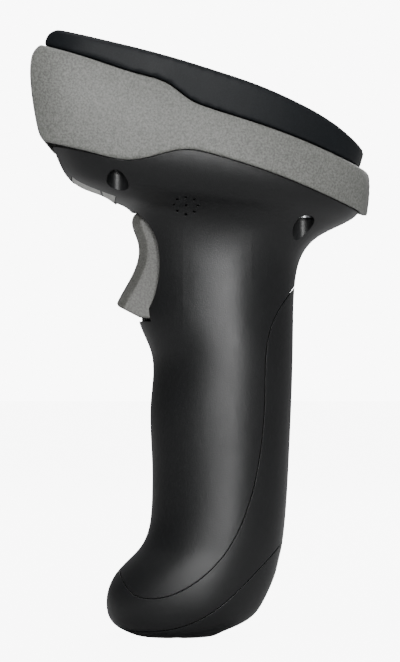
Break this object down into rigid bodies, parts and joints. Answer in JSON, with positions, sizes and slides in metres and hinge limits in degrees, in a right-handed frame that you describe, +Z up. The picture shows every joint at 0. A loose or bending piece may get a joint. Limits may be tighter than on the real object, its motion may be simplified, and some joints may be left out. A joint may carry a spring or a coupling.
{
  "type": "handheld barcode scanner",
  "caption": "Pistol-grip handheld barcode scanner with a sloping two-tone head, flat scan window at the front and a sprung trigger under the head.",
  "frame": {"origin": "centre of the bounding box at the underside of the foot, on the surface it rests on", "axes": "+Z up along the grip, the scan window faces -Y, X across the scanner"},
  "size_m": [0.0692, 0.0943, 0.1678],
  "materials": {
    "black_plastic": "satin textured black ABS",
    "grey_plastic": "fine matte grain warm grey",
    "trigger_plastic": "fine matte warm grey",
    "inner_plastic": "plain black moulding",
    "window_acrylic": "dark red tinted acrylic",
    "foam_rubber": "matte foam",
    "light_pipe": "frosted clear",
    "silver_label": "satin silver film, blank",
    "bright_steel": "ground",
    "zinc_screw": "zinc plated",
    "dark_resin": "moulded epoxy",
    "plunger_resin": "plain",
    "connector_resin": "plain",
    "circuit_board": "solder mask",
    "engine_alloy": "satin",
    "lens_glass": "coated",
    "lamp_epoxy": "clear epoxy",
    "sensor_ceramic": "sensor package",
    "cell_wrap": "heat-shrink sleeve"
  },
  "bodies": {
    "root": {"lower_housing": "black_plastic", "rear_grip_cover": "black_plastic", "base_cap": "black_plastic", "upper_cover": "black_plastic", "bumper_band": "grey_plastic", "scan_window": "window_acrylic", "window_seal": "foam_rubber", "status_light": "light_pipe", "rating_label": "silver_label", "trigger_pin": "bright_steel", "trigger_spring": "bright_steel", "trigger_switch": "dark_resin", "trigger_board": "circuit_board", "switch_bracket": "inner_plastic", "bracket_screws": "zinc_screw", "base_screws": "zinc_screw", "housing_screws": "zinc_screw", "chassis_screws": "zinc_screw", "board_screws": "zinc_screw", "head_chassis": "inner_plastic", "engine_housing": "engine_alloy", "lens_barrel": "dark_resin", "receiving_lens": "lens_glass", "aiming_lamps": "lamp_epoxy", "engine_board": "circuit_board", "image_sensor": "sensor_ceramic", "main_board": "circuit_board", "decoder_chip": "dark_resin", "memory_chip": "dark_resin", "radio_module": "engine_alloy", "board_connectors": "connector_resin", "status_lamp": "lamp_epoxy", "beeper": "dark_resin", "beeper_seal": "foam_rubber", "battery_cell": "cell_wrap", "battery_holder": "inner_plastic", "battery_contacts": "bright_steel", "charge_board": "circuit_board", "charge_socket": "bright_steel"},
    "trigger": {"trigger": "trigger_plastic"},
    "plunger": {"switch_plunger": "plunger_resin"}
  },
  "joints": [
    {"name": "trigger_hinge", "type": "hinge", "parent": "root", "child": "trigger", "pos_m": [0, -0.0126, 0.1182], "axis": [1, 0, 0], "range_deg": [0, 6], "stiffness_Nm_per_rad": 0.25, "springref_deg": -20.05, "deforming": ["trigger_spring"]},
    {"name": "plunger_slide", "type": "slide", "parent": "root", "child": "plunger", "axis": [0, 1, 0], "range_m": [0, 0.00125]}
  ],
  "couplings": [
    {"joint": "plunger_slide", "follows": "trigger_hinge", "m_per_rad": 0.01176}
  ]
}
